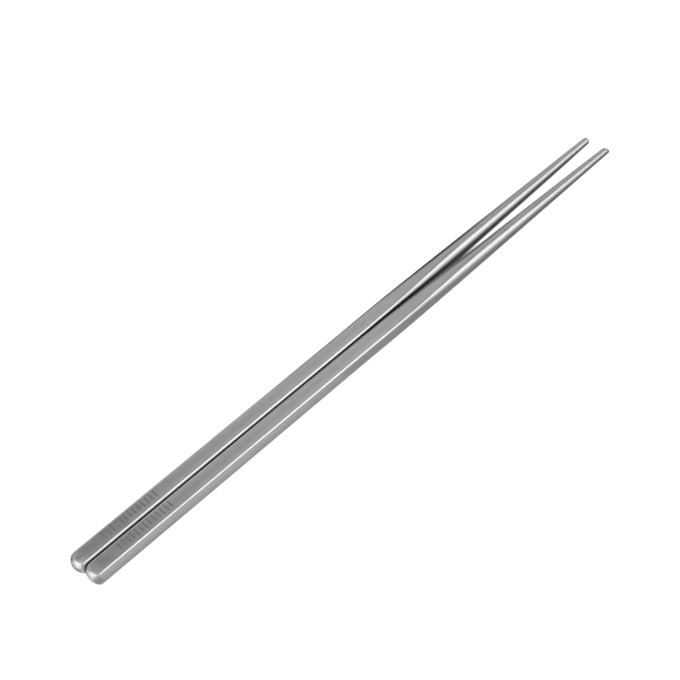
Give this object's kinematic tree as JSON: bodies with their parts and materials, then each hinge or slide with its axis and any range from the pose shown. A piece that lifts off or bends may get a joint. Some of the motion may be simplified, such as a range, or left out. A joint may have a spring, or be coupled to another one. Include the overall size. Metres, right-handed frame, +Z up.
{
  "type": "pair of chopsticks",
  "caption": "Slim satin metal chopsticks with square rounded handles, domed ends and a straight round taper to the tips, lying side by side.",
  "frame": {"origin": "middle of the pair's box at the level of the surface that the handles rest on", "axes": "+X along the handles toward the tips, +Y toward the far stick, +Z up"},
  "size_m": [0.2356, 0.0124, 0.0056],
  "materials": {
    "far_titanium": "satin titanium, polished along its length",
    "near_titanium": "satin titanium, polished along its length"
  },
  "bodies": {
    "root": {"far_chopstick": "far_titanium", "near_chopstick": "near_titanium"}
  },
  "joints": []
}
